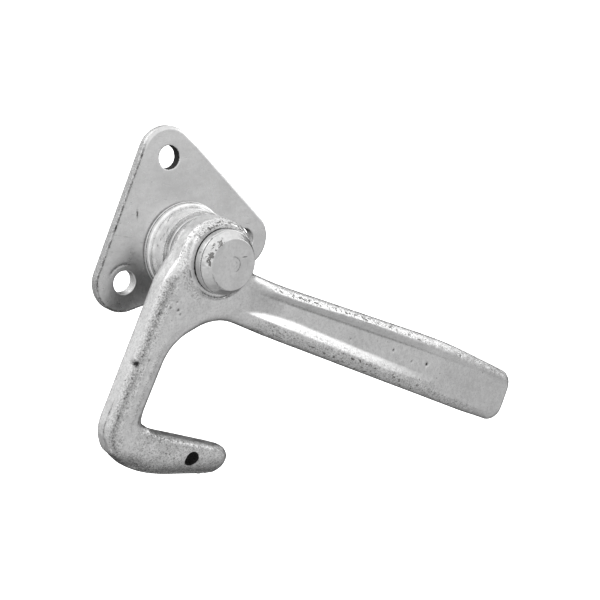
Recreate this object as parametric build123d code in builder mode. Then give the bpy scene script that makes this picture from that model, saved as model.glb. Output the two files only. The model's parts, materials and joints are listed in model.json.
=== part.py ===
"""Gravity gate latch: a forged hook lever that swings on a pin in front of a wall plate.

Frame: the origin is on the plate's back face at the pivot axis, +X right, +Y into the gate, +Z up.
Depths are measured from the plate's back face towards the front, which is -Y.
The lever's own outline is drawn square: u runs along the handle and v across it.
"""
import os

from build123d import *

# ---- wall plate ----
plate_thickness = 5.0
plate_corner_radius = 14.5
plate_edge_radius = 1.6
plate_back_edge = 0.5
upper_hole_height = 45.0
lower_hole_drop = 6.0
lower_hole_pitch = 70.0
fixing_hole_radius = 5.5
hole_edge_radius = 0.5

# ---- pivot stack, from the plate outwards ----
backing_washer_radius = 23.0
backing_washer_thickness = 1.2
collar_flange_radius = 22.4
collar_flange_thickness = 2.3
collar_radius = 20.4
collar_length = 11.3
collar_chamfer = 1.2
collar_foot_radius = 0.8
thrust_washer_radius = 18.5
thrust_washer_thickness = 2.2
lever_end_play = 0.3
hub_length = 16.4
hub_rear_stand_out = 1.0
head_washer_radius = 15.2
head_washer_thickness = 4.0

# ---- pivot pin and the bush it clamps ----
pin_radius = 8.0
pin_bore_clearance = 0.1
pin_head_base_radius = 14.8
pin_head_face_radius = 12.0
pin_head_height = 4.6
centre_mark_radius = 3.6
centre_mark_width = 0.5
centre_mark_depth = 0.3
pin_tail_radius = 10.4
pin_tail_length = 2.4
bush_outer_radius = 10.0
bush_running_clearance = 0.06
washer_bore_radius = 10.1
washer_edge = 0.4

# ---- lever forging, outline corners as (u, v) with the radius that rounds each ----
lever_hang_angle = 37.0
lever_half_thickness = 7.0
lever_edge_radius = 3.8
hub_radius = 19.7
hub_rear_radius = 17.0
hub_pad_radius = 17.5
hub_edge_radius = 1.0
hub_root_radius = 6.0
shoulder_start = (-22.4, -22.0)
heel = (-21.2, -101.5)
heel_radius = 18.0
sole = (12.0, -104.0)
sole_radius = 80.0
finger_tip_low = (51.8, -96.6)
finger_tip_high = (51.6, -84.1)
finger_tip_radius = 6.2
crotch = (-6.6, -86.0)
crotch_radius = 5.0
arch_foot = (-6.6, -44.0)
arch_foot_radius = 24.0
arch_top = (11.5, -25.2)
arch_top_radius = 26.0
handle_end_low = (264.8, -26.1)
handle_end_low_radius = 11.0
handle_end_high = (262.8, 8.3)
handle_end_high_radius = 11.0
handle_widest = (185.0, 9.9)
handle_widest_radius = 500.0
handle_neck = (45.0, 0.9)
handle_neck_radius = 300.0
handle_root = (0.0, 0.4)
lock_hole_radius = 3.5
lock_hole = (28.6, -92.6)

# ---- channel between the handle's two ribs, the same on both faces, as (u, v) ----
channel_depth = 3.2
channel_mouth = [
    (27.0, -17.5), (66.0, -20.6), (140.0, -20.8), (200.0, -12.5),
    (200.0, -4.5), (140.0, 2.2), (66.0, -2.3), (31.0, -5.5),
]
channel_floor = [
    (56.0, -15.2), (66.0, -14.6), (140.0, -14.4), (172.0, -11.0),
    (172.0, -5.5), (140.0, -2.6), (66.0, -6.0), (56.0, -6.8),
]

# ---- depths of the faces in the stack ----
washer_face = plate_thickness + backing_washer_thickness
collar_face = washer_face + collar_length
thrust_face = collar_face + thrust_washer_thickness
hub_rear_depth = thrust_face + lever_end_play
hub_front_depth = hub_rear_depth + hub_length
head_washer_depth = hub_front_depth + lever_end_play
pin_head_depth = head_washer_depth + head_washer_thickness
lever_mid_depth = hub_rear_depth + hub_rear_stand_out + lever_half_thickness
pin_bore_radius = pin_radius + pin_bore_clearance
lever_bore_radius = bush_outer_radius + bush_running_clearance


def at_depth(depth):
    """Plane parallel to the plate, depth in front of its back face: x is +X and y is +Z."""
    return Plane.XZ.offset(depth)


def lever_plane(offset_from_middle=0):
    """Plane of the lever's outline at rest, turned so that its x runs down the handle."""
    return Plane(
        origin=(0, -lever_mid_depth - offset_from_middle, 0),
        x_dir=Vector(1, 0, 0).rotate(Axis.Y, lever_hang_angle),
        z_dir=(0, -1, 0),
    )


# ---- base plate ----
fixing_holes = [
    (0, upper_hole_height),
    (-lower_hole_pitch / 2, -lower_hole_drop),
    (lower_hole_pitch / 2, -lower_hole_drop),
]
with BuildPart() as base_plate:
    with BuildSketch(at_depth(0)):
        with Locations(*fixing_holes):
            Circle(plate_corner_radius)
        make_hull()
    extrude(amount=plate_thickness)
    fillet(base_plate.faces().sort_by(Axis.Y)[0].edges(), plate_edge_radius)
    chamfer(base_plate.faces().sort_by(Axis.Y)[-1].edges(), plate_back_edge)
    with BuildSketch(at_depth(0)):
        with Locations(*fixing_holes):
            Circle(fixing_hole_radius)
        Circle(pin_bore_radius)
    extrude(amount=plate_thickness, mode=Mode.SUBTRACT)
    rims = base_plate.faces().sort_by(Axis.Y)[0].inner_wires().edges().filter_by(
        lambda edge: abs(edge.radius - fixing_hole_radius) < 0.01
    )
    fillet(rims, hole_edge_radius)
    with BuildSketch(at_depth(0)):
        Circle(pin_tail_radius + pin_bore_clearance)
    with BuildSketch(at_depth(pin_tail_length)):
        Circle(pin_bore_radius)
    loft(mode=Mode.SUBTRACT)
base_plate.part.label = "base_plate"

# ---- backing washer ----
with BuildPart() as backing_washer:
    with BuildSketch(at_depth(plate_thickness)):
        Circle(backing_washer_radius)
        Circle(washer_bore_radius, mode=Mode.SUBTRACT)
    extrude(amount=backing_washer_thickness)
    front = backing_washer.faces().sort_by(Axis.Y)[0]
    chamfer(front.outer_wire().edges(), washer_edge)
backing_washer.part.label = "backing_washer"

# ---- spacer collar ----
with BuildPart() as spacer_collar:
    with BuildSketch(at_depth(washer_face)):
        Circle(collar_flange_radius)
        Circle(washer_bore_radius, mode=Mode.SUBTRACT)
    extrude(amount=collar_flange_thickness)
    with BuildSketch(at_depth(washer_face)):
        Circle(collar_radius)
        Circle(washer_bore_radius, mode=Mode.SUBTRACT)
    extrude(amount=collar_length)
    front = spacer_collar.faces().sort_by(Axis.Y)[0]
    chamfer(front.outer_wire().edges(), collar_chamfer)
    foot = spacer_collar.edges().filter_by(GeomType.CIRCLE).filter_by(
        lambda edge: abs(edge.radius - collar_radius) < 0.01
    )
    fillet(foot.sort_by(Axis.Y)[-1], collar_foot_radius)
    rim = spacer_collar.edges().filter_by(GeomType.CIRCLE).filter_by(
        lambda edge: abs(edge.radius - collar_flange_radius) < 0.01
    )
    chamfer(rim, washer_edge)
spacer_collar.part.label = "spacer_collar"

# ---- thrust washer ----
with BuildPart() as thrust_washer:
    with BuildSketch(at_depth(collar_face)):
        Circle(thrust_washer_radius)
        Circle(washer_bore_radius, mode=Mode.SUBTRACT)
    extrude(amount=thrust_washer_thickness)
    rims = thrust_washer.edges().filter_by(GeomType.CIRCLE).filter_by(
        lambda edge: abs(edge.radius - thrust_washer_radius) < 0.01
    )
    chamfer(rims, washer_edge)
thrust_washer.part.label = "thrust_washer"

# ---- bearing bush ----
with BuildPart() as bearing_bush:
    with BuildSketch(at_depth(plate_thickness)):
        Circle(bush_outer_radius)
        Circle(pin_bore_radius, mode=Mode.SUBTRACT)
    extrude(amount=head_washer_depth - plate_thickness)
bearing_bush.part.label = "bearing_bush"

# ---- washer under the pin's head ----
with BuildPart() as head_washer:
    with BuildSketch(at_depth(head_washer_depth)):
        Circle(head_washer_radius)
        Circle(pin_bore_radius, mode=Mode.SUBTRACT)
    extrude(amount=head_washer_thickness)
    rims = head_washer.edges().filter_by(GeomType.CIRCLE).filter_by(
        lambda edge: abs(edge.radius - head_washer_radius) < 0.01
    )
    fillet(rims, washer_edge)
head_washer.part.label = "head_washer"

# ---- pivot pin: peened tail, shank and bevelled head in one turned profile ----
with BuildPart() as pivot_pin:
    with BuildSketch(Plane.XY):
        with BuildLine():
            Polyline(
                (0, 0),
                (pin_tail_radius, 0),
                (pin_radius, -pin_tail_length),
                (pin_radius, -pin_head_depth),
                (pin_head_base_radius, -pin_head_depth),
                (pin_head_base_radius, -pin_head_depth - washer_edge),
                (pin_head_face_radius, -pin_head_depth - pin_head_height),
                (0, -pin_head_depth - pin_head_height),
                close=True,
            )
        make_face()
    revolve(axis=Axis.Y)
    with BuildSketch(at_depth(pin_head_depth + pin_head_height)):
        Circle(centre_mark_radius)
        Circle(centre_mark_radius - centre_mark_width, mode=Mode.SUBTRACT)
    extrude(amount=-centre_mark_depth, mode=Mode.SUBTRACT)
pivot_pin.part.label = "pivot_pin"

# ---- lever: hub, shank, heel, finger and handle in one forging ----
with BuildPart() as lever:
    with BuildSketch(lever_plane()) as outline:
        with BuildLine():
            shoulder = Spline((-hub_radius, 0), shoulder_start, tangents=[(0, -1), (0, -1)])
            FilletPolyline(
                shoulder_start, heel, sole, finger_tip_low, finger_tip_high, crotch,
                arch_foot, arch_top, handle_end_low, handle_end_high, handle_widest,
                handle_neck, handle_root,
                radius=[
                    heel_radius, sole_radius, finger_tip_radius, finger_tip_radius, crotch_radius,
                    arch_foot_radius, arch_top_radius, handle_end_low_radius,
                    handle_end_high_radius, handle_widest_radius, handle_neck_radius,
                ],
            )
            Line(handle_root, shoulder @ 0)
        make_face()
        Circle(hub_radius)
        root = outline.vertices().sort_by_distance((hub_radius, handle_root[1]))
        fillet(root[0], hub_root_radius)
    extrude(amount=lever_half_thickness, both=True)
    fillet(lever.faces().filter_by(Axis.Y).edges(), lever_edge_radius)
    for side in (1, -1):
        with BuildSketch(lever_plane(side * lever_half_thickness)):
            with BuildLine():
                Polyline(*channel_mouth, close=True)
            make_face()
        with BuildSketch(lever_plane(side * (lever_half_thickness - channel_depth))):
            with BuildLine():
                Polyline(*channel_floor, close=True)
            make_face()
        loft(ruled=True, mode=Mode.SUBTRACT)
    with BuildSketch(Plane.XY) as hub_profile:
        with BuildLine():
            Polyline(
                (0, -hub_rear_depth),
                (hub_rear_radius, -hub_rear_depth),
                (hub_rear_radius, -lever_mid_depth),
                (hub_pad_radius, -lever_mid_depth),
                (hub_pad_radius, -hub_front_depth),
                (0, -hub_front_depth),
                close=True,
            )
        make_face()
        rims = hub_profile.vertices().filter_by(lambda v: v.X > 1 and abs(v.Y + lever_mid_depth) > 1)
        fillet(rims, hub_edge_radius)
    revolve(axis=Axis.Y)
    with BuildSketch(at_depth(hub_rear_depth)):
        Circle(lever_bore_radius)
    extrude(amount=hub_length, mode=Mode.SUBTRACT)
    with BuildSketch(lever_plane(-lever_half_thickness)):
        with Locations(lock_hole):
            Circle(lock_hole_radius)
    extrude(amount=2 * lever_half_thickness, mode=Mode.SUBTRACT)
lever.part.label = "lever"

parts = [base_plate, backing_washer, spacer_collar, thrust_washer, bearing_bush, lever,
         head_washer, pivot_pin]
os.makedirs("parts", exist_ok=True)
for piece in parts:
    export_step(piece.part, f"parts/{piece.part.label}.step")
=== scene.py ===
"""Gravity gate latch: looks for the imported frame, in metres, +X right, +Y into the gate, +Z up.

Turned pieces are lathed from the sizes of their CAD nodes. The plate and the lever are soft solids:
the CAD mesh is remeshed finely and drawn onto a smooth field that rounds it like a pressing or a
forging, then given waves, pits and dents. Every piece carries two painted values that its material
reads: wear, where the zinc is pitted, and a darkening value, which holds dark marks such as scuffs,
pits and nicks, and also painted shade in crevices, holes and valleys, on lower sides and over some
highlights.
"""

import functools
import json
import math

import bmesh
import bpy
import numpy as np
from mathutils import Matrix, Vector, noise


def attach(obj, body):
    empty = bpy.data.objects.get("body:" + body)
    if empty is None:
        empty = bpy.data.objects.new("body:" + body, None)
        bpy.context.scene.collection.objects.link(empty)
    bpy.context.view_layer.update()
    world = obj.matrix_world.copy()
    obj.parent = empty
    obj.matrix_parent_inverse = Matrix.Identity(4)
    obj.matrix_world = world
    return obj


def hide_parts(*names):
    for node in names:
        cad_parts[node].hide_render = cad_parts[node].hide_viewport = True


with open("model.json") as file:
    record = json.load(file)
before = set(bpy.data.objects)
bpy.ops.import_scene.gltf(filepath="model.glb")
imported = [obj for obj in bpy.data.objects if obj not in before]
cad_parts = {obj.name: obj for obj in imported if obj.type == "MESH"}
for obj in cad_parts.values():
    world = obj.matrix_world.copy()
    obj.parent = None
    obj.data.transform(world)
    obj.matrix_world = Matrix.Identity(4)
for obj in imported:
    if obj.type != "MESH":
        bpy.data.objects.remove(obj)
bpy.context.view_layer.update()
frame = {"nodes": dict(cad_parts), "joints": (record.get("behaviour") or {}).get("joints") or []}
NODES = frame["nodes"]
MM = 0.001

WALL_BODY = "wall_mount"
LEVER_BODY = "hook_lever"

# ---- camera, from the plate's pivot point ----
CAMERA_PLACE = Vector((-0.20546, -0.35971, 0.13446))
CAMERA_AIM = Vector((0.0481, -0.0280, -0.0387))
CAMERA_ROLL = math.radians(-6.95)
CAMERA_LENS = 52.9

# ---- studio ----
STAGE_RADIUS = 8.0
FLOOR_HEIGHT = -0.5
LIGHT_AIM = (0.05, -0.03, -0.05)
LIGHT_SIZE = (0.9, 0.6)
# glows that the latch reflects: direction, two cosines to fade in between, low and high strength
SURROUND = {
    "sky": ((0.0, -0.25, 0.97), -0.10, 0.35, 0.0, 1.2),
    "front card": ((-0.35, -0.94, 0.0), -0.55, 0.60, 0.04, 0.70),
    "left card": ((-1.0, 0.0, 0.0), 0.10, 0.70, 0.0, 0.76),
    "back card": ((-0.25, 0.96, -0.10), 0.80, 0.97, 0.0, 0.50),
    "soft box on the right": ((0.73, -0.64, 0.24), 0.77, 0.985, 0.0, 1.32),
    "table": ((-0.10, -0.35, -0.93), 0.70, 1.0, 0.0, 0.62),
    "rear card": ((-0.50, 0.73, 0.47), 0.70, 0.97, 0.0, 1.05),
}

# ---- plate, mm ----
CORNER_RADIUS = 14.5
HOLE_RADIUS = 5.5
TAIL_CONE = 2.4
FRONT_RIM = 0.9
BACK_RIM = 0.7
NICK = (-21.8, 23.6)
SCRAPE_RADIUS = 8.6

# ---- lever, mm; u runs along its handle, which hangs by HANG below level, and v across it ----
HANG = math.radians(37.0)
LEVER_MIDDLE = -frame["joints"][0]["pos_m"][1] / MM
HALF_THICK = 6.9
RIM_ROUNDING = 4.4
CHANNEL_DEPTH = 3.2
END_THINNING = 0.6
HUB_SWELL = 1.0
HANDLE_BEVEL_WIDTH = 5.5
SHANK_BEVEL_WIDTH = 6.0
FINGER_DOME_WIDTH = 9.5
LOCK_HOLE = (28.6, -92.6)
LOCK_HOLE_RADIUS = 3.5

VOXEL = 0.5 * MM


# ------------------------------------------------------------------ small helpers
def smooth_step(low, high, x):
    t = np.clip((x - low) / (high - low), 0.0, 1.0)
    return t * t * (3.0 - 2.0 * t)


def smooth_max(a, b, k):
    """Larger of two fields with the corner between them rounded over about k."""
    h = np.maximum(k - np.abs(a - b), 0.0) / k
    return np.maximum(a, b) + h * h * k * 0.25


def smooth_min(a, b, k):
    return -smooth_max(-a, -b, k)


def span(start, full, fade, end, x):
    """0 until start, 1 from full to fade, and 0 again from end on."""
    return smooth_step(start, full, x) * smooth_step(end, fade, x)


def fall(x, width):
    """1 up to x = 0, falling straight to 0 at the width."""
    return np.clip(1.0 - x / width, 0.0, 1.0)


def soft_ramp(low, high, x):
    """Like smooth_step, but nearly straight in the middle, so a wall keeps one slope."""
    t = np.clip((x - low) / (high - low), 0.0, 1.0)
    return 0.7 * t + 0.3 * t * t * (3.0 - 2.0 * t)


def bump_at(x, middle, width):
    """1 at the middle, falling to 0 within about two widths."""
    return np.exp(-((x - middle) / width) ** 2)


def waves(points, scale, seed):
    """Smooth noise from about -1 to 1 at each point; scale is the size of a wave."""
    shift = Vector((seed * 7.31, seed * 3.17, seed * 1.93))
    return np.array([noise.noise(Vector(p) / scale + shift) for p in points])


def coordinates(mesh):
    co = np.empty(len(mesh.vertices) * 3)
    mesh.vertices.foreach_get("co", co)
    return co.reshape(-1, 3)


def normals(mesh):
    no = np.empty(len(mesh.vertices) * 3)
    mesh.vertices.foreach_get("normal", no)
    return no.reshape(-1, 3)


def set_coordinates(mesh, co):
    mesh.vertices.foreach_set("co", co.ravel())
    mesh.update()


def paint(mesh, **layers):
    """Writes numbers from 0 to 1 at each vertex, for the material to read by name."""
    for name, values in layers.items():
        layer = mesh.attributes.new(name, "FLOAT", "POINT")
        layer.data.foreach_set("value", np.clip(values, 0.0, 1.0))


def new_piece(name, mesh, material, slot, body, *replaced):
    """Object with a material that rides on a body and stands for CAD nodes."""
    mesh.name = name
    mesh.polygons.foreach_set("use_smooth", [True] * len(mesh.polygons))
    piece = bpy.data.objects.new(name, mesh)
    bpy.context.scene.collection.objects.link(piece)
    mesh.materials.clear()
    mesh.materials.append(material)
    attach(piece, body)
    if replaced:
        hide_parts(*replaced)
    return piece


# ------------------------------------------------------------------ material nodes
RAMP_INPUTS = ("From Min", "From Max", "To Min", "To Max")


class Shade:
    """A procedural metal: colour, roughness and height are built up by its methods."""

    def __init__(self, name, metallic=1.0):
        self.material = bpy.data.materials.new(name)
        self.material.use_nodes = True
        self.tree = self.material.node_tree
        self.bsdf = self.tree.nodes["Principled BSDF"]
        self.bsdf.inputs["Metallic"].default_value = metallic
        self.place = self.tree.nodes.new("ShaderNodeTexCoord").outputs["Object"]

    def node(self, kind, settings=None, **inputs):
        made = self.tree.nodes.new(kind)
        for key, value in (settings or {}).items():
            setattr(made, key, value)
        for key, value in inputs.items():
            self.feed(made.inputs[key.replace("_", " ")], value)
        return made

    def feed(self, socket, value):
        if hasattr(value, "links"):
            self.tree.links.new(value, socket)
        else:
            socket.default_value = value

    def along(self, sizes, turn=0.0):
        """Coordinates turned about Y and counted in sizes, metres along the turned X, Y and Z."""
        return self.node(
            "ShaderNodeMapping", {"vector_type": "TEXTURE"}, Vector=self.place, Scale=sizes,
            Rotation=(0.0, turn, 0.0),
        ).outputs["Vector"]

    def noise(self, scale, detail=3.0, rough=0.55, place=None):
        return self.node(
            "ShaderNodeTexNoise",
            Vector=place or self.place, Scale=scale, Detail=detail, Roughness=rough,
        ).outputs["Fac"]

    def cells(self, scale):
        return self.node("ShaderNodeTexVoronoi", Vector=self.place, Scale=scale).outputs["Distance"]

    def painted(self, name):
        return self.node("ShaderNodeAttribute", {"attribute_name": name}).outputs["Fac"]

    def remap(self, value, low, high, to_low=0.0, to_high=1.0):
        made = self.node("ShaderNodeMapRange", {"interpolation_type": "SMOOTHSTEP"}, Value=value)
        for key, number in zip(RAMP_INPUTS, (low, high, to_low, to_high)):
            made.inputs[key].default_value = number
        return made.outputs["Result"]

    def math(self, operation, a, b):
        made = self.node("ShaderNodeMath", {"operation": operation})
        self.feed(made.inputs[0], a)
        self.feed(made.inputs[1], b)
        return made.outputs["Value"]

    def mix(self, factor, a, b):
        """Blend of two colours; each is a colour or a socket."""
        made = self.node("ShaderNodeMix", {"data_type": "RGBA"})
        for socket, value in zip((made.inputs[0], made.inputs[6], made.inputs[7]), (factor, a, b)):
            self.feed(socket, value)
        return made.outputs[2]

    def bump(self, height, depth, before=None):
        """Adds height, in units of depth metres, to the normal that came before."""
        made = self.node("ShaderNodeBump", Height=height, Strength=1.0, Distance=depth)
        if before is not None:
            self.feed(made.inputs["Normal"], before)
        return made.outputs["Normal"]

    def specks(self, place, bare, worn):
        """Small ragged spots: none below bare, more and more as the painted wear rises."""
        ragged = self.noise(1.0, 4, 0.62, place)
        reach = self.math("ADD", ragged, self.math("MULTIPLY", self.painted("wear"), bare - worn))
        return self.remap(reach, bare, bare + 0.045)

    def darkened_by_marks_and_shade(self, tone, strength=0.96):
        """The tone, darkened towards near black where dark marks and painted shade are painted,
        with a ragged edge.
        """
        ragged = self.remap(self.noise(1500, 3, 0.6), 0.3, 0.7, -0.18, 0.18)
        grime = self.painted("grime")
        shape = self.math("ADD", grime, self.math("MULTIPLY", ragged, self.remap(grime, 0.05, 0.3)))
        amount = self.math("MULTIPLY", self.remap(shape, 0.0, 1.0), strength)
        return self.mix(amount, tone, grey(0.012))

    def finish(self, colour, roughness, normal):
        """Joins up the colour, the roughness, which thick dark marks and thick painted shade raise,
        and the normal.
        """
        matt = self.remap(self.painted("grime"), 0.65, 1.0, 0.0, 0.45)
        self.feed(self.bsdf.inputs["Base Color"], colour)
        self.feed(self.bsdf.inputs["Roughness"], self.math("ADD", roughness, matt))
        self.feed(self.bsdf.inputs["Normal"], normal)
        return self.material


def grey(value, warm=0.0):
    return (value + warm, value, value - warm, 1.0)


def forged_zinc():
    """Hot-dipped zinc over a rough forging: mottled, grainy, pitted where painted."""
    s = Shade("galvanised_forging")
    cloud = s.noise(75, 4, 0.6)
    mottle = s.noise(420, 5, 0.68)
    grain = s.noise(1150, 4, 0.7)
    worn = s.painted("wear")

    def by_wear(smooth, rugged):
        return s.remap(worn, 0.04, 0.40, smooth, rugged)

    rugged = by_wear(0.35, 1.0)

    # dark marks: pits and larger blots drawn out along the handle, flecks and round craters
    pits = s.specks(s.along((0.0027, 0.0015, 0.0017), HANG), 0.745, 0.515)
    blots = s.specks(s.along((0.0058, 0.0022, 0.0028), HANG), 0.755, 0.585)
    fleck = s.remap(s.noise(1250, 3, 0.65), 0.555, 0.63)
    fleck = s.math("MULTIPLY", fleck, s.remap(worn, 0.08, 0.55))
    craters = s.remap(s.cells(260), 0.07, 0.17, 1.0, 0.0)
    craters = s.math("MULTIPLY", craters, s.remap(s.noise(55, 2), 0.60, 0.66))
    marks = s.math("MAXIMUM", s.math("MAXIMUM", pits, blots), s.math("MULTIPLY", craters, 0.7))
    marks = s.math("MAXIMUM", marks, s.math("MULTIPLY", fleck, 0.62))

    tone = s.mix(s.remap(cloud, 0.35, 0.65), grey(0.62), grey(0.70))
    bright = s.math("MULTIPLY", s.remap(mottle, 0.42, 0.60), by_wear(0.45, 0.90))
    dark = s.math("MULTIPLY", s.remap(grain, 0.47, 0.63), by_wear(0.38, 0.78))
    tone = s.mix(bright, tone, grey(0.80))
    tone = s.mix(dark, tone, grey(0.40))
    tone = s.mix(s.math("MULTIPLY", marks, 0.85), tone, grey(0.10, 0.004))
    tone = s.darkened_by_marks_and_shade(tone)
    rough = s.math("ADD", s.remap(mottle, 0.35, 0.65, 0.30, 0.44), s.math("MULTIPLY", marks, 0.25))
    normal = s.bump(s.noise(150, 3), 0.00012)
    normal = s.bump(s.math("MULTIPLY", mottle, rugged), 0.00014, normal)
    normal = s.bump(s.math("MULTIPLY", grain, rugged), 0.00006, normal)
    normal = s.bump(s.math("SUBTRACT", 1.0, marks), 0.00020, normal)
    return s.finish(tone, rough, normal)


def plated_sheet():
    """Satin zinc plating on rolled sheet: faint streaks, a fine mottle and light scuffs."""
    s = Shade("zinc_plate")
    cloud = s.noise(45, 5, 0.6)
    streak = s.noise(1.0, 4, 0.6, s.along((0.014, 0.004, 0.004)))
    mottle = s.noise(520, 5, 0.65)
    scratch = s.noise(1.0, 3, 0.7, s.along((0.0090, 0.0016, 0.0010), math.radians(24)))
    scratch = s.math("MULTIPLY", s.remap(scratch, 0.60, 0.66), s.remap(s.noise(70, 2), 0.48, 0.60))
    dots = s.specks(s.along((0.0016, 0.0016, 0.0016)), 0.75, 0.52)
    marks = s.math("MAXIMUM", s.math("MULTIPLY", scratch, 0.35), dots)
    tone = s.mix(s.remap(cloud, 0.3, 0.7), grey(0.61), grey(0.72))
    tone = s.mix(s.math("MULTIPLY", s.remap(streak, 0.35, 0.7), 0.35), tone, grey(0.54))
    tone = s.mix(s.math("MULTIPLY", s.remap(mottle, 0.42, 0.64), 0.40), tone, grey(0.52))
    tone = s.mix(s.math("MULTIPLY", marks, 0.8), tone, grey(0.12))
    tone = s.darkened_by_marks_and_shade(tone)
    rough = s.math("ADD", s.remap(mottle, 0.3, 0.7, 0.27, 0.36), s.math("MULTIPLY", marks, 0.15))
    normal = s.bump(s.noise(120, 2), 0.00012)
    normal = s.bump(streak, 0.00005, normal)
    normal = s.bump(mottle, 0.00003, normal)
    normal = s.bump(s.math("SUBTRACT", 1.0, marks), 0.00008, normal)
    return s.finish(tone, rough, normal)


def turned_zinc(name, light, rough_low, rough_high, lines=1500, metallic=1.0, stain=0.86):
    """Bright plated turning: fine tool lines round the pivot axis, soft stains and a few nicks."""
    s = Shade(name, metallic)
    split = s.node("ShaderNodeSeparateXYZ", Vector=s.place)
    across = s.math("MULTIPLY", split.outputs["X"], split.outputs["X"])
    up = s.math("MULTIPLY", split.outputs["Z"], split.outputs["Z"])
    radius = s.math("POWER", s.math("ADD", across, up), 0.5)
    ring = s.node("ShaderNodeCombineXYZ", X=radius, Y=split.outputs["Y"]).outputs["Vector"]
    tool = s.noise(lines, 3, 0.7, ring)
    cloud = s.noise(110, 4, 0.62)
    nick = s.specks(s.along((0.0022, 0.0022, 0.0022)), 0.75, 0.55)
    tone = s.mix(s.remap(cloud, 0.40, 0.66), grey(light), grey(light * stain))
    tone = s.mix(s.math("MULTIPLY", s.remap(tool, 0.35, 0.7), 0.2), tone, grey(light * 0.75))
    tone = s.mix(s.math("MULTIPLY", nick, 0.7), tone, grey(0.2))
    tone = s.darkened_by_marks_and_shade(tone)
    rough = s.remap(cloud, 0.3, 0.7, rough_low, rough_high)
    normal = s.bump(tool, 0.00002)
    normal = s.bump(cloud, 0.00010, normal)
    return s.finish(tone, rough, normal)


def pin_head_zinc():
    """Plated head: satin mottled face, and a bevel that hammering has pitted."""
    s = Shade("zinc_pin")
    cloud = s.noise(150, 4, 0.6)
    mottle = s.noise(620, 5, 0.68)
    pits = s.specks(s.along((0.0011, 0.0015, 0.0020), math.radians(40)), 0.76, 0.48)
    tone = s.mix(s.remap(cloud, 0.35, 0.65), grey(0.60), grey(0.68))
    tone = s.mix(s.math("MULTIPLY", s.remap(mottle, 0.42, 0.64), 0.45), tone, grey(0.50))
    tone = s.mix(s.math("MULTIPLY", pits, 0.78), tone, grey(0.10, 0.004))
    tone = s.darkened_by_marks_and_shade(tone)
    rough = s.math("ADD", s.remap(mottle, 0.3, 0.7, 0.28, 0.38), s.math("MULTIPLY", pits, 0.25))
    normal = s.bump(cloud, 0.00010)
    normal = s.bump(mottle, 0.00004, normal)
    normal = s.bump(s.math("SUBTRACT", 1.0, pits), 0.00018, normal)
    return s.finish(tone, rough, normal)


def pale_floor():
    s = Shade("studio_floor", metallic=0.0)
    s.bsdf.inputs["Emission Color"].default_value = grey(1.0)
    s.bsdf.inputs["Emission Strength"].default_value = 1.0
    cloud = s.noise(3, 3, 0.5)
    tone = s.mix(s.remap(cloud, 0.3, 0.7), grey(0.90), grey(0.92))
    return s.finish(tone, s.remap(cloud, 0.3, 0.7, 0.7, 0.8), s.bump(s.noise(40), 0.0002))


FORGED = forged_zinc()
SHEET = plated_sheet()
TURNED = turned_zinc(
    "turned_zinc", light=0.94, rough_low=0.14, rough_high=0.28, metallic=0.72, stain=0.74,
)
WASHER = turned_zinc("zinc_washer", light=0.66, rough_low=0.26, rough_high=0.38)
HEAD = pin_head_zinc()
BUSH = turned_zinc("bush_steel", light=0.5, rough_low=0.3, rough_high=0.4, lines=2200)


# ------------------------------------------------------------------ turned pieces
def turned_shape(node):
    """(radius, depth) of every CAD vertex of a node that was turned about the pivot axis, in mm."""
    return around_axis(NODES[node].data)[:2]


def turned_size(node):
    """Inner and outer radius, rear and front depth of a turned node, in mm."""
    r, d = turned_shape(node)
    return r.min(), r.max(), d.min(), d.max()


def around_axis(mesh):
    """Radius and depth in mm, and angle up from +X, of every vertex about the pivot axis."""
    co = coordinates(mesh) / MM
    return np.hypot(co[:, 0], co[:, 2]), -co[:, 1], np.arctan2(co[:, 2], co[:, 0])


def rounded_profile(corners, steps=5):
    """Closed profile of (radius, depth, rounding) corners, with an arc at each rounded corner."""
    points = []
    for i, (r, d, rounding) in enumerate(corners):
        here = Vector((r, d))
        before = Vector(corners[i - 1][:2]) - here
        after = Vector(corners[(i + 1) % len(corners)][:2]) - here
        if rounding <= 0.0:
            points.append(here)
            continue
        half = before.angle(after) / 2.0
        reach = rounding / math.tan(half)
        inward = (before.normalized() + after.normalized()).normalized()
        centre = here + inward * rounding / math.sin(half)
        start = here + before.normalized() * reach - centre
        end = here + after.normalized() * reach - centre
        turn = start.angle_signed(end)
        for k in range(steps + 1):
            spin = Matrix.Rotation(-turn * k / steps, 2)
            points.append(centre + spin @ start)
    return points


def evened(points, longest):
    """The closed profile with its long sides cut up, so that paint has vertices to sit on."""
    out = []
    for here, following in zip(points, points[1:] + points[:1]):
        parts = max(1, math.ceil((following - here).length / longest))
        out += [here.lerp(following, k / parts) for k in range(parts)]
    return out


def lathe(corners, around=200, longest=0.8):
    """Mesh of a closed profile turned about the pivot axis; points on the axis close to a fan."""
    bm = bmesh.new()
    rows = []
    for r, d in evened(rounded_profile(corners), longest):
        if r < 1e-6:
            rows.append([bm.verts.new((0, -d * MM, 0))])
            continue
        turns = [2 * math.pi * k / around for k in range(around)]
        circle = [(r * MM * math.cos(a), -d * MM, r * MM * math.sin(a)) for a in turns]
        rows.append([bm.verts.new(place) for place in circle])
    for row, following in zip(rows, rows[1:] + rows[:1]):
        if len(row) == len(following) == 1:
            continue
        for k in range(around):
            n = (k + 1) % around
            near, far = len(row), len(following)
            ring = [row[k % near], row[n % near], following[n % far], following[k % far]]
            bm.faces.new(list(dict.fromkeys(ring)))
    axis_only = [v for v in bm.verts if not v.link_faces]
    bmesh.ops.delete(bm, geom=axis_only, context="VERTS")
    bmesh.ops.recalc_face_normals(bm, faces=bm.faces)
    mesh = bpy.data.meshes.new("lathe")
    bm.to_mesh(mesh)
    bm.free()
    return mesh


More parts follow.
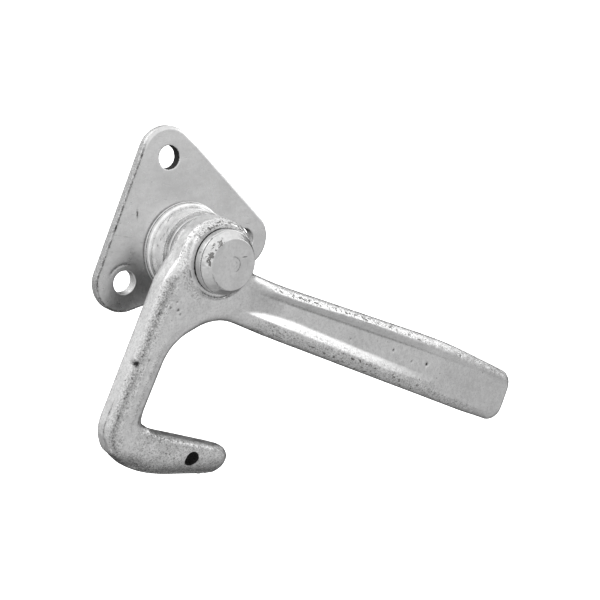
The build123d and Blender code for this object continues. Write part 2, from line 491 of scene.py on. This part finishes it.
def make_backing_ring():
    """Plain washer under the collar; painted shade darkens the gap where the collar's flange sits
    on it, and its outer front rim is painted darker.
    """
    inner, outer, back, front = turned_size("backing_washer")
    flange = turned_shape("spacer_collar")[0].max()
    mesh = lathe([
        (inner, back, 0.2), (outer, back, 0.2), (outer, front, 0.5), (inner, front, 0.2),
    ])
    radius, depth, _ = around_axis(mesh)
    near_flange = smooth_step(flange + 0.35, flange, radius)
    # painted shade: a dark line in the gap at the flange's edge
    seam = 0.75 * near_flange * smooth_step(front - 0.2, front, depth)
    # the outer front rim is painted darker
    rim = 0.45 * bump_at(radius, outer, 0.3) * smooth_step(front, front - 0.5, depth)
    paint(mesh, wear=0.25 * np.ones(len(radius)), grime=np.maximum(seam, rim))
    return new_piece("backing_ring", mesh, WASHER, "zinc_washer", WALL_BODY, "backing_washer")


def make_thrust_ring():
    """Plain washer between the collar and the lever's hub."""
    inner, outer, back, front = turned_size("thrust_washer")
    mesh = lathe([
        (inner, back, 0.2), (outer, back, 0.5), (outer, front, 0.5), (inner, front, 0.2),
    ])
    return new_piece("thrust_ring", mesh, WASHER, "zinc_washer", WALL_BODY, "thrust_washer")


def make_head_ring():
    """Washer under the head: painted shade darkens its chamfered rear edge, in the crevice against
    the lever.
    """
    inner, outer, back, front = turned_size("head_washer")
    chamfer = 0.35
    mesh = lathe([
        (inner, back, 0.2), (outer - chamfer, back, 0.1), (outer, back + chamfer, 0.3),
        (outer, front, 0.45), (inner, front, 0.2),
    ], longest=0.4)
    _, depth, angle = around_axis(mesh)
    # painted shade in the crevice under the chamfered rear edge
    crevice = 0.6 * smooth_step(back + chamfer, back + 0.15, depth)
    on_left = smooth_step(-0.2, -0.7, np.cos(angle))
    seam = 0.5 * smooth_step(front - 0.35, front - 0.05, depth) * on_left
    wear = 0.75 * smooth_step(0.2, 0.9, np.cos(angle - math.radians(125)))
    paint(mesh, wear=wear, grime=np.maximum(crevice, seam))
    return new_piece("head_ring", mesh, WASHER, "zinc_washer", WALL_BODY, "head_washer")


# short dark scuffs on the collar's barrel: angle in degrees, depth in mm, length in mm
BARREL_SCUFFS = (
    (112, 9.5, 2.2), (118, 10.6, 3.0), (132, 15.4, 3.0),
    (139, 14.6, 2.0), (146, 13.6, 1.6), (155, 12.6, 1.4),
)


def make_collar():
    """Flanged barrel with a soft foot and a rounded nose, scuffed along its top; painted shade
    darkens the corner at its foot, its nose and its lower side.
    """
    r, d = turned_shape("spacer_collar")
    bore, flange, back, front = r.min(), r.max(), d.min(), d.max()
    lip = d[r > flange - 0.6].max()
    barrel = r[d > lip + 1.0].max()
    mesh = lathe([
        (bore, back, 0.2), (flange, back, 0.2), (flange, lip, 0.95), (barrel, lip, 0.8),
        (barrel, front, 0.45), (bore, front, 0.2),
    ], around=280, longest=0.5)
    radius, depth, angle = around_axis(mesh)
    # painted shade in the corner between the flange and the barrel
    foot = 0.62 * bump_at(depth, lip + 0.1, 0.4) * bump_at(radius, barrel + 0.1, 0.6)
    # painted shade on the nose, next to the thrust ring
    nose = 0.35 * smooth_step(front - 0.9, front - 0.3, depth)
    scuffs = np.zeros(len(radius))
    for degrees, place, length in BARREL_SCUFFS:
        aside = (angle - math.radians(degrees)) * barrel
        scuff = bump_at(depth - 0.4 * aside, place, 0.35) * bump_at(aside, 0.0, length / 2)
        scuffs = np.maximum(scuffs, scuff)
    scuffs *= smooth_step(lip + 0.5, lip + 1.0, depth)
    # painted shade: the lower side of the barrel is darker
    under = 0.36 * smooth_step(-0.05, -0.5, np.sin(angle))
    grime = np.maximum.reduce([foot, nose, 0.9 * scuffs, under])
    paint(mesh, wear=0.3 * np.ones(len(radius)), grime=grime)
    return new_piece("collar_turning", mesh, TURNED, "turned_zinc", WALL_BODY, "spacer_collar")


def make_pin():
    """Shank, peened tail and bevelled head, whose rim carries hammer dents and pits."""
    r, d = turned_shape("pivot_pin")
    face, head_front = r[d > d.max() - 0.01].max(), d.max()
    base = r.max()
    head_back = d[r > base - 0.05].min()
    tail = r[d < 0.01].max()
    shank = r[(d > head_back - 5.0) & (d < head_back + 0.01) & (r > 1.0)].min()
    mark, mark_half, mark_deep = 3.6, 0.3, 0.05  # the ring mark in the middle of the face
    mesh = lathe([
        (0, 0, 0), (tail, 0, 0.25), (shank, TAIL_CONE, 0.3), (shank, head_back, 0),
        (base, head_back, 0.3), (base, head_back + 0.5, 0.35), (face, head_front, 0.5),
        (mark + mark_half, head_front, 0), (mark, head_front - mark_deep, 0),
        (mark - mark_half, head_front, 0), (0, head_front, 0),
    ], around=280, longest=0.4)
    co = coordinates(mesh)
    radius, depth, angle = around_axis(mesh)
    bevel = smooth_step(face - 0.1, face + 0.5, radius)
    bevel = bevel * smooth_step(head_back + 0.1, head_back + 0.8, depth)
    dents = waves(co, 2.6 * MM, 3) + 0.5 * waves(co, 1.1 * MM, 4)
    hammered = 0.3 + 0.7 * smooth_step(0.1, 0.9, np.cos(angle - math.radians(140)))
    upper_left = smooth_step(0.74, 0.95, np.cos(angle - math.radians(130)))
    struck = bevel * 0.42 * hammered + 0.95 * upper_left * bump_at(radius, face + 0.5, 1.2)
    struck = struck * smooth_step(head_back + 0.5, head_back + 1.5, depth)
    inward = np.clip(dents - 0.05, 0.0, 1.0) * bevel * hammered * 0.35 * MM
    set_coordinates(mesh, co - normals(mesh) * inward[:, None])
    x, z = co[:, 0] / MM, co[:, 2] / MM
    on_face = smooth_step(head_front - 0.3, head_front - 0.1, depth)
    ring = 0.60 * bump_at(radius, mark, 0.30) * smooth_step(-0.5, 1.5, x)
    inner_ring = 0.35 * bump_at(radius, 1.9, 0.25) * smooth_step(0.0, 1.0, x - 0.4 * z)
    outer_ring = 0.30 * bump_at(radius, 7.9, 0.3) * smooth_step(3.5, 6.0, x) * bump_at(z, -2.0, 3.0)
    dash = 1.0 * bump_at(z + 0.17 * (x - 6.5), 1.8, 0.28) * bump_at(x, 6.5, 1.3)
    # painted shade: a dark line along the lower-left edge of the face
    lip = 0.5 * bump_at(radius, face - 0.2, 0.35) * bump_at(angle, math.radians(-155), 0.75)
    # painted shade on the lower side of the bevel
    low = 0.55 * bevel * smooth_step(0.45, 0.95, np.cos(angle + math.radians(65)))
    lines = on_face * np.maximum.reduce([ring, inner_ring, outer_ring, dash]) + lip
    paint(mesh, wear=struck, grime=np.maximum(lines, low * (depth > head_back)))
    return new_piece("pin_turning", mesh, HEAD, "zinc_pin", WALL_BODY, "pivot_pin")


# ------------------------------------------------------------------ soft solids
def fine_copy(node, voxel):
    """Even, fine mesh of a CAD node's shape, as a mesh of its own."""
    temp = bpy.data.objects.new("fine", NODES[node].data.copy())
    bpy.context.scene.collection.objects.link(temp)
    remesh = temp.modifiers.new("remesh", "REMESH")
    remesh.mode = "VOXEL"
    remesh.voxel_size = voxel
    bpy.context.view_layer.update()
    evaluated = temp.evaluated_get(bpy.context.evaluated_depsgraph_get())
    mesh = bpy.data.meshes.new_from_object(evaluated)
    bpy.data.objects.remove(temp)
    return mesh


def draw_onto(mesh, field, steps=7, step_cap=0.8):
    """Moves each vertex along the field's slope until the field is 0 there. The field is in mm."""
    co = coordinates(mesh) / MM
    small, flattest = 0.05, 0.05
    for _ in range(steps):
        value = field(co)
        slope = np.empty_like(co)
        for axis in range(3):
            ahead = co.copy()
            ahead[:, axis] += small
            slope[:, axis] = (field(ahead) - value) / small
        squared = np.maximum((slope ** 2).sum(1), flattest)
        move = np.clip(value / squared, -step_cap, step_cap)
        co -= slope * move[:, None]
    set_coordinates(mesh, co * MM)


def keep_in_box(mesh, node):
    """Holds the mesh inside its CAD node's own box."""
    cad = coordinates(NODES[node].data)
    set_coordinates(mesh, np.clip(coordinates(mesh), cad.min(0), cad.max(0)))


def slab(inside, height, half, rounding):
    """Distance to a plate with a rounded rim; inside is the way in from that rim."""
    a = rounding - inside
    b = np.abs(height) - (half - rounding)
    outer = np.hypot(np.maximum(a, 0.0), np.maximum(b, 0.0))
    return outer + np.minimum(np.maximum(a, b), 0.0) - rounding


# ---- plate ----
def triangle_inside(x, z, centres):
    """Distance in from the rim of the hull of the three corner circles."""
    best = np.full(x.shape, 1e9)
    within = np.ones(x.shape, bool)
    for i in range(3):
        a, b = centres[i], centres[(i + 1) % 3]
        ex, ez = b - a
        t = np.clip(((x - a[0]) * ex + (z - a[1]) * ez) / (ex * ex + ez * ez), 0, 1)
        best = np.minimum(best, np.hypot(x - a[0] - t * ex, z - a[1] - t * ez))
        within &= (ex * (z - a[1]) - ez * (x - a[0])) > 0
    return np.where(within, best, -best) + CORNER_RADIUS


def make_plate():
    """Pressed plate with a die-rolled front rim, rolled hole mouths, a nick and a scrape."""
    co = coordinates(NODES["base_plate"].data) / MM
    low, high = co.min(0), co.max(0)
    thick = high[1] - low[1]
    half = 6.0  # of each of two overlapping slabs: one ends at the front face, one at the back
    bore = turned_shape("base_plate")[0].min()
    foot = low[2] + CORNER_RADIUS
    top, left, right = np.array([
        (0.0, high[2] - CORNER_RADIUS),
        (low[0] + CORNER_RADIUS, foot),
        (high[0] - CORNER_RADIUS, foot),
    ])

    def nick_at(x, z):
        return bump_at(x - 0.19 * (z - NICK[1]), NICK[0], 0.5) * bump_at(z, NICK[1], 2.3)

    def scrape_at(x, z):
        turn = np.arctan2(z - left[1], x - left[0])
        away = np.hypot(x - left[0], z - left[1])
        return bump_at(away, SCRAPE_RADIUS, 0.45) * span(0.7, 1.2, 2.1, 2.6, turn)

    def field(p):
        x, depth, z = p[:, 0], -p[:, 1], p[:, 2]
        rim = triangle_inside(x, z, (top, left, right))
        rolled = FRONT_RIM + 0.9 * smooth_step(44, 56, z)
        rolled = rolled - 0.4 * smooth_step(0, -10, x) * smooth_step(56, 44, z)
        front = slab(rim, depth - (thick - half), half, rolled)
        back = slab(rim, depth - half, half, BACK_RIM)
        shape = np.maximum(front, back)
        for cx, cz in (top, left, right):
            away = np.hypot(x - cx, z - cz)
            shape = np.maximum(shape, smooth_max(depth - thick, HOLE_RADIUS - away, 0.6))
        cone = bore - np.hypot(x, z) + np.maximum(0.0, TAIL_CONE - depth)
        shape = np.maximum(shape, np.minimum(cone, 3.0))
        face = smooth_step(thick - 0.4, thick, depth)
        return shape + face * (0.16 * scrape_at(x, z) + 0.22 * nick_at(x, z))

    mesh = fine_copy("base_plate", VOXEL)
    draw_onto(mesh, field)
    co = coordinates(mesh)
    sink = np.abs(waves(co, 22 * MM, 11)) * 0.05 * MM
    set_coordinates(mesh, co - normals(mesh) * sink[:, None])
    x, depth, z = co[:, 0] / MM, -co[:, 1] / MM, co[:, 2] / MM
    rim = triangle_inside(x, z, (top, left, right))
    ragged = 0.72 + 0.35 * waves(co, 2.2 * MM, 12)
    near_front = smooth_step(thick - 1.3, thick - 0.5, depth)
    # a ragged dark line painted along the front rim on the left
    rim_line = bump_at(rim, 0.6, 0.48) * near_front * ragged
    rim_line = rim_line * smooth_step(2.0, -6.0, x) * smooth_step(58, 50, z)
    # painted shade on the hole walls, darkest in the top hole
    walls = np.zeros(len(x))
    for (cx, cz), dark in zip((top, left, right), (1.6, 0.25, 0.4)):
        in_hole = smooth_step(HOLE_RADIUS + 0.6, HOLE_RADIUS + 0.2, np.hypot(x - cx, z - cz))
        walls = np.maximum(walls, dark * in_hole * smooth_step(thick - 0.05, thick - 0.5, depth))
    marks = np.maximum(0.9 * nick_at(x, z), 0.6 * scrape_at(x, z)) * near_front
    # painted shade: the side wall on the left is darker
    side = 0.40 * smooth_step(0.5, 0.1, rim) * smooth_step(2, -8, x)
    grime = np.maximum.reduce([rim_line, side, walls, marks])
    wear = 0.22 + 0.18 * bump_at(rim, 2.0, 1.6) * near_front
    paint(mesh, wear=wear, grime=grime)
    keep_in_box(mesh, "base_plate")
    return new_piece("plate_pressing", mesh, SHEET, "zinc_plate", WALL_BODY, "base_plate")


# ---- lever ----
def to_lever(p):
    """Row frame, mm, to the lever's own (u along the handle, v across it, w towards the front)."""
    c, s = math.cos(HANG), math.sin(HANG)
    return p[:, 0] * c - p[:, 2] * s, p[:, 0] * s + p[:, 2] * c, -p[:, 1] - LEVER_MIDDLE


def from_lock_hole(u, v):
    return np.hypot(u - LOCK_HOLE[0], v - LOCK_HOLE[1])


def lever_outline():
    """Segments (u, v) of the CAD lever's outer outline, cut at the middle of its thickness."""
    bm = bmesh.new()
    bm.from_mesh(NODES["lever"].data)
    bmesh.ops.remove_doubles(bm, verts=bm.verts, dist=1e-6)
    cut = bmesh.ops.bisect_plane(
        bm, geom=bm.verts[:] + bm.edges[:] + bm.faces[:],
        plane_co=(0, -LEVER_MIDDLE * MM, 0), plane_no=(0, 1, 0),
    )
    edges = [e for e in cut["geom_cut"] if isinstance(e, bmesh.types.BMEdge)]
    points = np.array([[tuple(v.co / MM) for v in e.verts] for e in edges])
    bm.free()
    u0, v0, _ = to_lever(points[:, 0])
    u1, v1, _ = to_lever(points[:, 1])
    middle_u, middle_v = (u0 + u1) / 2, (v0 + v1) / 2
    in_bore = np.hypot(middle_u, middle_v) < 12.0
    in_lock_hole = from_lock_hole(middle_u, middle_v) < LOCK_HOLE_RADIUS + 1.5
    keep = ~(in_bore | in_lock_hole)
    return np.stack([u0, v0, u1, v1], 1)[keep]


class InsideMap:
    """How far each (u, v) lies in from the outline, read from a grid worked out once."""

    def __init__(self, segments, step=0.5, margin=6.0):
        low = segments.reshape(-1, 2).min(0) - margin
        high = segments.reshape(-1, 2).max(0) + margin
        self.low, self.step = low, step
        self.us = np.arange(low[0], high[0], step)
        self.vs = np.arange(low[1], high[1], step)
        self.grid = np.array([self.row(segments, u) for u in self.us])

    def row(self, segments, u):
        u0, v0, u1, v1 = segments.T
        v = self.vs[:, None]
        du, dv = u1 - u0, v1 - v0
        t = np.clip(((u - u0) * du + (v - v0) * dv) / (du * du + dv * dv + 1e-12), 0, 1)
        near = np.hypot(u0 + t * du - u, v0 + t * dv - v).min(1)
        spans = ((u0 <= u) & (u1 > u)) | ((u1 <= u) & (u0 > u))
        cross = v0 + (u - u0) / np.where(du == 0, 1e-9, du) * dv
        crossings = (spans & (cross > v)).sum(1)
        return np.where(crossings % 2 == 1, near, -near)

    def __call__(self, u, v):
        a = np.clip((u - self.low[0]) / self.step, 0, len(self.us) - 1.001)
        b = np.clip((v - self.low[1]) / self.step, 0, len(self.vs) - 1.001)
        i, j = a.astype(int), b.astype(int)
        a, b = a - i, b - j
        g = self.grid
        return ((g[i, j] * (1 - b) + g[i, j + 1] * b) * (1 - a)
                + (g[i + 1, j] * (1 - b) + g[i + 1, j + 1] * b) * a)


# ---- lines along the handle and the finger: v at each u, mm ----
def high_crest(u):
    return np.interp(u, [25, 45, 70, 100, 125, 160], [-5.0, -3.6, -1.9, 0.6, 2.0, 2.8])


def high_foot(u):
    return np.interp(u, [25, 60, 90, 125, 160, 225, 260], [-7.4, -6.0, -4.5, -2.8, -1.0, 1.6, 2.3])


def low_crest(u):
    return np.interp(u, [25, 60, 100, 125, 165], [-18.4, -19.2, -19.6, -20.0, -20.8])


def low_foot(u):
    return np.interp(u, [25, 40, 60, 165], [-17.0, -14.6, -13.4, -13.8])


def sole_line(u):
    return np.interp(u, [-20, 12, 52], [-101.5, -104.0, -96.6])


def channel(u, v):
    """How far the handle's face is sunk, from 0 on the ribs to 1 on the channel's floor."""
    high_wall = soft_ramp(high_crest(u), high_foot(u), v)
    low_wall = soft_ramp(low_crest(u), low_foot(u), v)
    open_end = smooth_step(20, 50, u)
    full = high_wall * low_wall * open_end * smooth_step(210, 112, u)
    shoulder = high_wall * open_end * smooth_step(266, 256, u)
    return np.maximum(full, 0.16 * shoulder)


def regions(u, v):
    """How much (u, v) belongs to the handle, the hanging shank and the hook's finger."""
    handle = smooth_step(22, 50, u) * smooth_step(-45, -30, v)
    finger = smooth_step(-80, -88, v) * smooth_step(-16, 0, u)
    shank = smooth_step(-4, -20, v) * smooth_step(12, -4, u)
    return handle, shank, finger


# pits that stand alone: u, v, radius and depth in mm
LONE_PITS = (
    (-20.8, -57.0, 2.3, 0.55), (-11.5, -28.2, 1.1, 0.5), (-9.6, -29.6, 0.8, 0.45),
    (-15.8, -28.4, 0.8, 0.4), (-13.9, -24.9, 0.7, 0.4), (-16.0, -53.6, 0.9, 0.4),
    (-12.5, -33.5, 0.6, 0.35), (139.7, -7.3, 1.1, 0.5), (157.4, -9.3, 0.9, 0.4),
    (170.7, -7.4, 1.4, 0.6), (197.6, 5.2, 1.2, 0.5), (180.1, -21.0, 1.0, 0.4),
    (206.5, -22.0, 1.0, 0.4), (103.9, -10.5, 0.8, 0.4),
)


def lone_pits(u, v, w):
    """Depth of the lone pits, mm, on the front of the lever only."""
    dent = np.zeros(len(u))
    for place_u, place_v, size, deep in LONE_PITS:
        away = (u - place_u) ** 2 + (v - place_v) ** 2
        dent = np.maximum(dent, deep * np.exp(-away / (0.5 * size ** 2)))
    return dent * smooth_step(1.0, 3.0, w)


def make_lever():
    """Forging: soft-edged body with a ribbed handle, a bevelled shank, a domed finger and a hub."""
    inside = InsideMap(lever_outline())
    r, d = turned_shape("lever")
    bore = r.min()
    rear, front = d.min() - LEVER_MIDDLE, d.max() - LEVER_MIDDLE
    pad = r[d > d.max() - 0.05].max() + 1.0

    def rim_at(u, v):
        """Way in from the outline, which stands a little fuller along its lower and left sides."""
        handle, shank, finger = regions(u, v)
        fuller = 0.6 * handle * smooth_step(-12, -18, v) * smooth_step(250, 225, u)
        fuller = fuller + 0.6 * shank * smooth_step(-12, -16, u) + 0.8 * finger
        fuller = fuller + 2.2 * bump_at(u, -2.0, 4.5) * bump_at(v, -82.5, 4.5)
        fuller = fuller + 1.1 * smooth_step(6, 1, v - sole_line(u)) * span(-14, 8, 42, 54, u)
        return inside(u, v) + fuller

    def field(p):
        u, v, w = to_lever(p)
        handle, shank, finger = regions(u, v)
        rim = rim_at(u, v)

        # half the thickness, here and there thinned towards the rim
        half = HALF_THICK - CHANNEL_DEPTH * channel(u, v)
        half = half - END_THINNING * smooth_step(190, 262, u) * handle
        half = half + HUB_SWELL * smooth_step(36, 17, np.hypot(u, v))
        left = shank * smooth_step(2.0, -8.0, u) * (1.0 - finger)
        half = half - 0.9 * left * fall(rim, SHANK_BEVEL_WIDTH)
        bevel = 0.8 + 0.5 * smooth_step(-10, -18, v)
        half = half - bevel * handle * fall(rim, HANDLE_BEVEL_WIDTH)
        to_sole = v - sole_line(u)
        half = half - 4.4 * finger * fall(to_sole, FINGER_DOME_WIDTH) ** 1.5

        # how far the rim is rounded: least where a ridge runs along the top of the finger
        ridge = finger * smooth_step(7.0, 4.0, inside(u, v)) * smooth_step(5.0, 8.0, to_sole)
        rounding = RIM_ROUNDING + 1.3 * handle + 2.0 * finger - 1.4 * left
        rounding = rounding - 2.8 * ridge * smooth_step(48, 38, u)
        body = slab(rim, w, half, np.minimum(rounding, half - 0.3))

        # the hub's pad, its bore, the lock hole and the pits
        axis = np.hypot(u, v)
        hub = np.hypot(np.maximum(axis - (pad - 0.6), 0), np.maximum(w - (front - 0.6), 0)) - 0.6
        hub = np.maximum(np.maximum(hub, rear - w), axis - pad)
        shape = smooth_min(body, hub, 2.4 - 1.6 * smooth_step(3.0, 5.5, w))
        shape = smooth_max(shape, LOCK_HOLE_RADIUS - from_lock_hole(u, v), 0.6)
        return np.maximum(shape, bore - axis) + lone_pits(u, v, w)

    mesh = fine_copy("lever", VOXEL)
    draw_onto(mesh, field)
    co = coordinates(mesh)
    u, v, w = to_lever(co / MM)
    rim = rim_at(u, v)
    axis = np.hypot(u, v)
    wear = lever_wear(u, v, w, rim)
    large = waves(co, 18 * MM, 21)
    medium = waves(co, 6.0 * MM, 22)
    fine = waves(co, 1.5 * MM, 23)
    sink = 0.08 + 0.08 * large + 0.03 * medium + 0.30 * np.clip(fine - 0.2, 0, 1) * wear
    sink = np.maximum(sink, 0.0) * (1.0 - 0.9 * smooth_step(20.5, 17.0, axis))
    set_coordinates(mesh, co - normals(mesh) * (sink * MM)[:, None])
    paint(mesh, wear=wear, grime=lever_grime(co, u, v, w, rim, axis))
    keep_in_box(mesh, "lever")
    return new_piece("lever_forging", mesh, FORGED, "galvanised_forging", LEVER_BODY, "lever")


def lever_wear(u, v, w, rim):
    """Where the forging is pitted: the shank's shoulder, the ribs' crests and round the hub."""
    handle, shank, finger = regions(u, v)
    proud = smooth_step(1.5, 3.5, np.abs(w))
    left = shank * smooth_step(-9, -13, u)
    shoulder = 0.50 * bump_at(rim, 2.4, 1.6) * left
    beside = 0.45 * bump_at(rim, 5.2, 2.0) * left
    above_high, above_low = v - high_crest(u), v - low_crest(u)
    crest = 0.92 * bump_at(above_high, 1.6, 1.2) * span(30, 42, 120, 240, u)
    top = 0.50 * bump_at(above_high, 3.0, 3.0) * handle
    flank = 0.66 * smooth_step(1.5, -1.0, above_low) * handle * smooth_step(260, 200, u)
    ridge = 0.86 * bump_at(above_low, -0.6, 1.6) * span(70, 105, 165, 215, u)
    low_wall = 0.34 * bump_at(above_low, 2.4, 2.6) * span(30, 80, 170, 210, u)
    axis = np.hypot(u, v)
    hub_top = 0.9 * bump_at(axis, 17.2, 1.1) * smooth_step(0.0, 10.0, v)
    hub_side = 0.45 * bump_at(axis, 20.0, 2.5) * smooth_step(4, -6, u)
    tip = 0.42 * finger
    wall = 0.16 * left * smooth_step(2.0, 0.5, rim)
    worn = [shoulder, beside, crest, top, flank, ridge, low_wall, tip, hub_side]
    return np.clip(proud * np.maximum.reduce(worn) + hub_top + wall, 0, 1)


def lever_grime(co, u, v, w, rim, axis):
    """Painted shade round the head, in the channel's valley, in the lock hole, on the finger and on
    the shank's shoulder; dark lines at the heel and round the pad's edge; the lone pits.
    """
    _, shank, finger = regions(u, v)
    to_sole = v - sole_line(u)
    front = smooth_step(7.2, 7.8, w)
    ring = turned_shape("head_washer")[0].max()
    # painted shade in the crevice round the head's washer
    crevice = front * smooth_step(ring + 0.35, ring + 0.05, axis)
    # painted shadow on the pad below the head
    under = 0.75 * front * bump_at(axis, 17.0, 0.5) * smooth_step(-5, -12, co[:, 2] / MM)
    # a darker line painted along the pad's edge, fading out towards its top
    pad_edge = 0.35 * bump_at(axis, 18.3, 0.5) * smooth_step(5.5, 6.3, w) * smooth_step(9, -3, v)
    # painted shade along the valley at the foot of the channel's upper wall
    valley = 0.46 * bump_at(v, high_foot(u) + 0.2, 0.7) * span(24, 40, 120, 266, u)
    valley = valley * smooth_step(1.0, 3.0, w)
    # painted shade inside the lock hole
    in_hole = smooth_step(LOCK_HOLE_RADIUS + 0.6, LOCK_HOLE_RADIUS + 0.2, from_lock_hole(u, v))
    lock = 1.6 * in_hole * smooth_step(6.8, 6.3, np.abs(w))
    ragged = 0.75 + 0.7 * waves(co, 2.0 * MM, 24)
    on_left = shank * smooth_step(0, -10, u) * smooth_step(-68, -82, v) * (1 - finger)
    # thin dark lines painted along the shank's left side near the heel, on its front and its side
    front_crease = 0.8 * bump_at(rim, 2.4, 0.6) * smooth_step(3, 5, w)
    side_crease = bump_at(rim, 0.4, 0.8) * bump_at(w, 1.8, 0.7)
    creases = 0.8 * on_left * ragged * np.maximum(front_crease, side_crease)
    # painted shade over the finger, lighter in a band along its middle
    finger_shade = finger * (0.29 + 0.12 * waves(co, 5.0 * MM, 25)) * smooth_step(-2, 8, u)
    finger_shade = finger_shade * (1.0 - 0.75 * bump_at(to_sole, 11.0, 3.5))
    # painted shade: the finger is darker towards its sole
    low = 0.60 * smooth_step(9.5, 0.5, to_sole)
    low = low * smooth_step(-78, -92, v) * smooth_step(-24, -14, u)
    # painted shade over the highlight along the finger's top edge
    edge = 0.74 * finger * bump_at(rim, 1.2, 1.9)
    edge = edge * smooth_step(6, 9, to_sole) * (0.5 + 0.4 * ragged)
    # painted shade over the highlight along the shank's shoulder
    band = 0.42 * shank * smooth_step(-11, -14, u) * bump_at(rim, 2.4, 2.4)
    band = band * smooth_step(1.5, 3.5, w) * (1 - finger)
    pits = 1.9 * lone_pits(u, v, w)
    return np.maximum.reduce([
        crevice, under, pad_edge, valley, lock, creases, finger_shade, low, edge, band, pits,
    ])


# ------------------------------------------------------------------ studio
def make_camera():
    data = bpy.data.cameras.new("camera")
    data.sensor_width = 36.0
    data.lens = CAMERA_LENS
    data.clip_start, data.clip_end = 0.01, 200.0
    camera = bpy.data.objects.new("camera", data)
    bpy.context.scene.collection.objects.link(camera)
    look = (CAMERA_AIM - CAMERA_PLACE).to_track_quat("-Z", "Y").to_matrix().to_4x4()
    roll = Matrix.Rotation(CAMERA_ROLL, 4, "Z")
    camera.matrix_world = Matrix.Translation(CAMERA_PLACE) @ look @ roll
    bpy.context.scene.camera = camera


def make_light(name, place, power):
    data = bpy.data.lights.new(name, "AREA")
    data.shape = "RECTANGLE"
    data.size, data.size_y = LIGHT_SIZE
    data.energy = power
    light = bpy.data.objects.new(name, data)
    bpy.context.scene.collection.objects.link(light)
    light.location = place
    light.rotation_mode = "QUATERNION"
    light.rotation_quaternion = (Vector(LIGHT_AIM) - Vector(place)).to_track_quat("-Z", "Y")


def make_world():
    """Soft studio surround, which is as bright in each direction as the brightest glow there."""
    world = bpy.data.worlds.new("studio")
    bpy.context.scene.world = world
    world.use_nodes = True
    tree = world.node_tree
    place = tree.nodes.new("ShaderNodeTexCoord").outputs["Generated"]

    def facing(direction, low, high, to_low, to_high):
        """Goes from to_low to to_high as the view turns towards the direction."""
        dot = tree.nodes.new("ShaderNodeVectorMath")
        dot.operation = "DOT_PRODUCT"
        tree.links.new(place, dot.inputs[0])
        dot.inputs[1].default_value = direction
        ramp = tree.nodes.new("ShaderNodeMapRange")
        ramp.interpolation_type = "SMOOTHSTEP"
        tree.links.new(dot.outputs["Value"], ramp.inputs["Value"])
        for key, number in zip(RAMP_INPUTS, (low, high, to_low, to_high)):
            ramp.inputs[key].default_value = number
        return ramp.outputs["Result"]

    def larger(a, b):
        pick = tree.nodes.new("ShaderNodeMath")
        pick.operation = "MAXIMUM"
        tree.links.new(a, pick.inputs[0])
        tree.links.new(b, pick.inputs[1])
        return pick.outputs["Value"]

    strength = functools.reduce(larger, [facing(*glow) for glow in SURROUND.values()])
    background = tree.nodes["Background"]
    background.inputs["Color"].default_value = (1.0, 1.0, 1.0, 1.0)
    tree.links.new(strength, background.inputs["Strength"])


def make_stage():
    """Pale floor well below the latch, which is held by its plate, and a pale dome round it all.

    Both are there for the camera alone: the world and the lights light the latch through them.
    """
    pale = pale_floor()
    for name in ("studio_floor", "studio_dome"):
        bm = bmesh.new()
        if name == "studio_floor":
            bmesh.ops.create_grid(bm, x_segments=8, y_segments=8, size=STAGE_RADIUS)
        else:
            bmesh.ops.create_icosphere(bm, subdivisions=5, radius=STAGE_RADIUS)
        mesh = bpy.data.meshes.new(name)
        bm.to_mesh(mesh)
        bm.free()
        stage = bpy.data.objects.new(name, mesh)
        bpy.context.scene.collection.objects.link(stage)
        mesh.materials.append(pale)
        stage.visible_glossy = False
        stage.visible_diffuse = False
        stage.visible_shadow = False
        if name == "studio_floor":
            stage.location.z = FLOOR_HEIGHT


# ------------------------------------------------------------------ the scene
make_camera()
make_world()
make_stage()
make_light("side", (1.15, -0.24, 0.20), power=2.6)
make_light("top", (-0.22, 0.55, 0.85), power=3.0)

make_backing_ring()
make_collar()
make_thrust_ring()
make_head_ring()
make_pin()
make_plate()
make_lever()
bush = NODES["bearing_bush"]
bush.data.materials.clear()
bush.data.materials.append(BUSH)

bpy.context.scene.view_settings.view_transform = "Standard"
